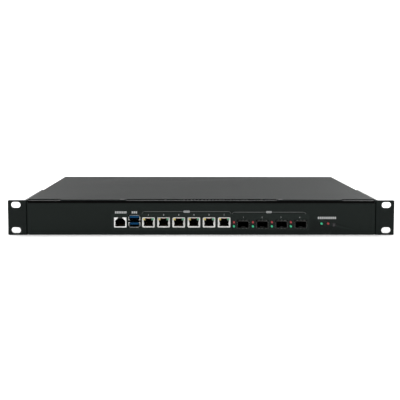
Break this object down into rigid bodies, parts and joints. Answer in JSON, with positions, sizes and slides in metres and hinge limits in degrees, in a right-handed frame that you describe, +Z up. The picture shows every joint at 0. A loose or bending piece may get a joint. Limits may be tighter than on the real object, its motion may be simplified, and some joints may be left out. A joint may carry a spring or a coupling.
{
  "type": "firewall appliance",
  "caption": "One-unit rack firewall appliance with network, fibre, USB and console sockets on its front, rack ears, a lift-off cover and a mains supply with fans behind.",
  "frame": {"origin": "on the surface it stands on, under the middle of the whole unit", "axes": "+X to the right as seen from the front, along the rack ears; +Y from the front panel to the rear; +Z up"},
  "size_m": [0.4826, 0.37, 0.0441],
  "materials": {
    "black_coat": "satin black fine-texture powder coat",
    "black_screw": "black oxide",
    "bright_steel": "bright zinc plate",
    "jack_shield": "bright nickel plate",
    "cage_metal": "tinned steel, slightly dull",
    "blue_plastic": "moulded, satin",
    "led_lens": "clear moulded lens",
    "circuit_board": "green solder mask over glass laminate",
    "pale_aluminium": "plain milled and extruded",
    "chip_metal": "nickel plate, fine brushed",
    "zinc_steel": "galvanised sheet",
    "lead_sleeve": "braided nylon sleeve",
    "black_plastic": "moulded, fine grain"
  },
  "bodies": {
    "chassis": {"base_tray": "black_coat", "coin_cell": "chip_metal", "console_jack": "jack_shield", "copper_port_plate": "black_coat", "disk_led": "led_lens", "drive_bracket": "zinc_steel", "ear_screw_left_1": "black_screw", "ear_screw_left_2": "black_screw", "ear_screw_right_1": "black_screw", "ear_screw_right_2": "black_screw", "earth_stud": "bright_steel", "fan_frame_1": "black_plastic", "fan_frame_2": "black_plastic", "front_panel": "black_coat", "heatsink": "pale_aluminium", "lan_jack_1": "jack_shield", "lan_jack_2": "jack_shield", "lan_jack_3": "jack_shield", "lan_jack_4": "jack_shield", "lan_jack_5": "jack_shield", "lan_jack_6": "jack_shield", "link_leds_1": "led_lens", "link_leds_2": "led_lens", "link_leds_3": "led_lens", "link_leds_4": "led_lens", "memory_module": "circuit_board", "memory_socket": "black_plastic", "motherboard": "circuit_board", "optical_port_plate": "black_coat", "power_inlet": "black_plastic", "power_lead": "lead_sleeve", "power_led": "led_lens", "power_supply": "zinc_steel", "processor": "chip_metal", "rack_ear_left": "black_coat", "rack_ear_right": "black_coat", "reset_switch": "black_plastic", "rocker_bezel": "black_plastic", "sfp_cage_1": "cage_metal", "sfp_cage_2": "cage_metal", "sfp_cage_3": "cage_metal", "sfp_cage_4": "cage_metal", "slot_cover": "zinc_steel", "storage_drive": "pale_aluminium", "supply_fan_frame": "black_plastic", "supply_screw_lower": "bright_steel", "supply_screw_upper": "bright_steel", "usb_stack": "cage_metal", "usb_tongue_lower": "blue_plastic", "usb_tongue_upper": "blue_plastic"},
    "cover": {"cover_screw_front_left": "black_screw", "cover_screw_front_right": "black_screw", "cover_screw_rear_left": "black_screw", "cover_screw_rear_right": "black_screw", "top_cover": "black_coat"},
    "reset_key": {"reset_button": "black_plastic"},
    "rocker": {"power_rocker": "black_plastic"},
    "system_fan_1": {"fan_rotor_1": "black_plastic"},
    "system_fan_2": {"fan_rotor_2": "black_plastic"},
    "supply_fan": {"supply_fan_rotor": "black_plastic"}
  },
  "joints": [
    {"name": "cover_lift", "type": "slide", "parent": "chassis", "child": "cover", "axis": [0, 0, 1], "range_m": [0, 0.06]},
    {"name": "reset_press", "type": "slide", "parent": "chassis", "child": "reset_key", "axis": [0, 1, 0], "range_m": [0, 0.0008], "stiffness_N_per_m": 400},
    {"name": "rocker_tilt", "type": "hinge", "parent": "chassis", "child": "rocker", "pos_m": [-0.145, 0.172, 0.0332], "axis": [0, 0, 1], "range_deg": [0, 14]},
    {"name": "system_fan_1_spin", "type": "hinge", "parent": "chassis", "child": "system_fan_1", "pos_m": [-0.04, 0.164, 0.0218], "axis": [0, 1, 0], "continuous": true},
    {"name": "system_fan_2_spin", "type": "hinge", "parent": "chassis", "child": "system_fan_2", "pos_m": [0.02, 0.164, 0.0218], "axis": [0, 1, 0], "continuous": true},
    {"name": "supply_fan_spin", "type": "hinge", "parent": "chassis", "child": "supply_fan", "pos_m": [-0.1805, 0.164, 0.0218], "axis": [0, 1, 0], "continuous": true}
  ]
}
